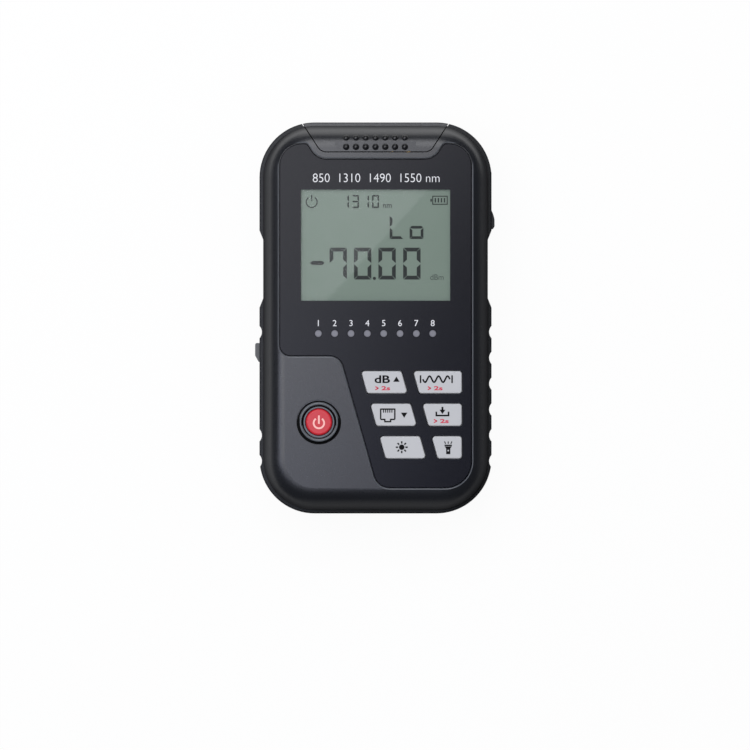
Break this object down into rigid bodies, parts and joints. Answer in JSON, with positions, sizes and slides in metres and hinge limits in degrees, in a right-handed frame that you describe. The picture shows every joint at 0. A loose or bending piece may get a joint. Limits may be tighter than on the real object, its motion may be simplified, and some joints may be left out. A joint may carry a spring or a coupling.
{
  "type": "optical power meter",
  "caption": "Hand-held optical power and cable tester with display, slanted keys, power button and a hinged dust cover over its ports.",
  "frame": {"origin": "centre of the flat back, on the surface it lies on", "axes": "+Z out of the face, +Y towards the port end, +X to the right as the face is read"},
  "size_m": [0.0748, 0.122, 0.0305],
  "materials": {
    "shell_plastic": "satin charcoal ABS",
    "overlay_plastic": "smooth dark polycarbonate sheet",
    "clear_window": "clear acrylic",
    "display_glass": "grey-green liquid crystal glass",
    "white_plastic": "white moulded plastic",
    "light_pipe_plastic": "milky translucent polycarbonate",
    "red_plastic": "red satin plastic",
    "ring_plastic": "satin black plastic",
    "key_plastic": "light grey satin plastic",
    "steel": "bright steel",
    "black_plastic": "black engineering plastic",
    "plated_metal": "nickel plate",
    "brass_tube": "bare brass",
    "board_laminate": "green solder mask",
    "knob_plastic": "mid grey satin plastic",
    "flap_rubber": "soft black rubber",
    "battery_film": "blue shrink film"
  },
  "bodies": {
    "housing": {"battery_pack": "battery_film", "board_screws": "steel", "case_screws": "steel", "detector_can": "steel", "detector_port": "plated_metal", "display_window": "clear_window", "front_overlay": "overlay_plastic", "front_shell": "shell_plastic", "hinge_pin": "steel", "indicator_leds": "white_plastic", "laser_module": "brass_tube", "laser_port": "plated_metal", "lcd_backlight": "white_plastic", "lcd_glass": "display_glass", "light_pipe": "light_pipe_plastic", "main_board": "board_laminate", "port_panel": "black_plastic", "power_ring": "ring_plastic", "rear_shell": "shell_plastic", "rj45_contacts": "brass_tube", "rj45_jack": "black_plastic", "slide_switch_body": "black_plastic", "tact_switches": "black_plastic", "torch_led": "white_plastic", "torch_lens": "clear_window", "usb_socket": "steel"},
    "dust_cover": {"dust_cover": "shell_plastic"},
    "usb_flap": {"usb_flap": "flap_rubber"},
    "power_button": {"power_button": "red_plastic", "power_plunger": "black_plastic"},
    "slide_knob": {"slide_knob": "knob_plastic", "slide_actuator": "black_plastic"},
    "key_reference": {"key_reference": "key_plastic", "key_reference_plunger": "black_plastic"},
    "key_wavelength": {"key_wavelength": "key_plastic", "key_wavelength_plunger": "black_plastic"},
    "key_cable_test": {"key_cable_test": "key_plastic", "key_cable_test_plunger": "black_plastic"},
    "key_store": {"key_store": "key_plastic", "key_store_plunger": "black_plastic"},
    "key_backlight": {"key_backlight": "key_plastic", "key_backlight_plunger": "black_plastic"},
    "key_torch": {"key_torch": "key_plastic", "key_torch_plunger": "black_plastic"}
  },
  "joints": [
    {"name": "cover_hinge", "type": "hinge", "parent": "housing", "child": "dust_cover", "pos_m": [0, 0.0586, 0.006], "axis": [-1, 0, 0], "range_deg": [0, 105]},
    {"name": "flap_hinge", "type": "hinge", "parent": "housing", "child": "usb_flap", "pos_m": [0.0355, 0.0453, 0.016], "axis": [0, 0, 1], "range_deg": [0, 100], "stiffness_Nm_per_rad": 0.002},
    {"name": "slide_switch", "type": "slide", "parent": "housing", "child": "slide_knob", "axis": [0, -1, 0], "range_m": [0, 0.006]},
    {"name": "power_button_press", "type": "slide", "parent": "housing", "child": "power_button", "axis": [0, 0, -1], "range_m": [0, 0.0006], "stiffness_N_per_m": 500},
    {"name": "key_reference_press", "type": "slide", "parent": "housing", "child": "key_reference", "axis": [0, 0, -1], "range_m": [0, 0.0006], "stiffness_N_per_m": 500},
    {"name": "key_wavelength_press", "type": "slide", "parent": "housing", "child": "key_wavelength", "axis": [0, 0, -1], "range_m": [0, 0.0006], "stiffness_N_per_m": 500},
    {"name": "key_cable_test_press", "type": "slide", "parent": "housing", "child": "key_cable_test", "axis": [0, 0, -1], "range_m": [0, 0.0006], "stiffness_N_per_m": 500},
    {"name": "key_store_press", "type": "slide", "parent": "housing", "child": "key_store", "axis": [0, 0, -1], "range_m": [0, 0.0006], "stiffness_N_per_m": 500},
    {"name": "key_backlight_press", "type": "slide", "parent": "housing", "child": "key_backlight", "axis": [0, 0, -1], "range_m": [0, 0.0006], "stiffness_N_per_m": 500},
    {"name": "key_torch_press", "type": "slide", "parent": "housing", "child": "key_torch", "axis": [0, 0, -1], "range_m": [0, 0.0006], "stiffness_N_per_m": 500}
  ]
}
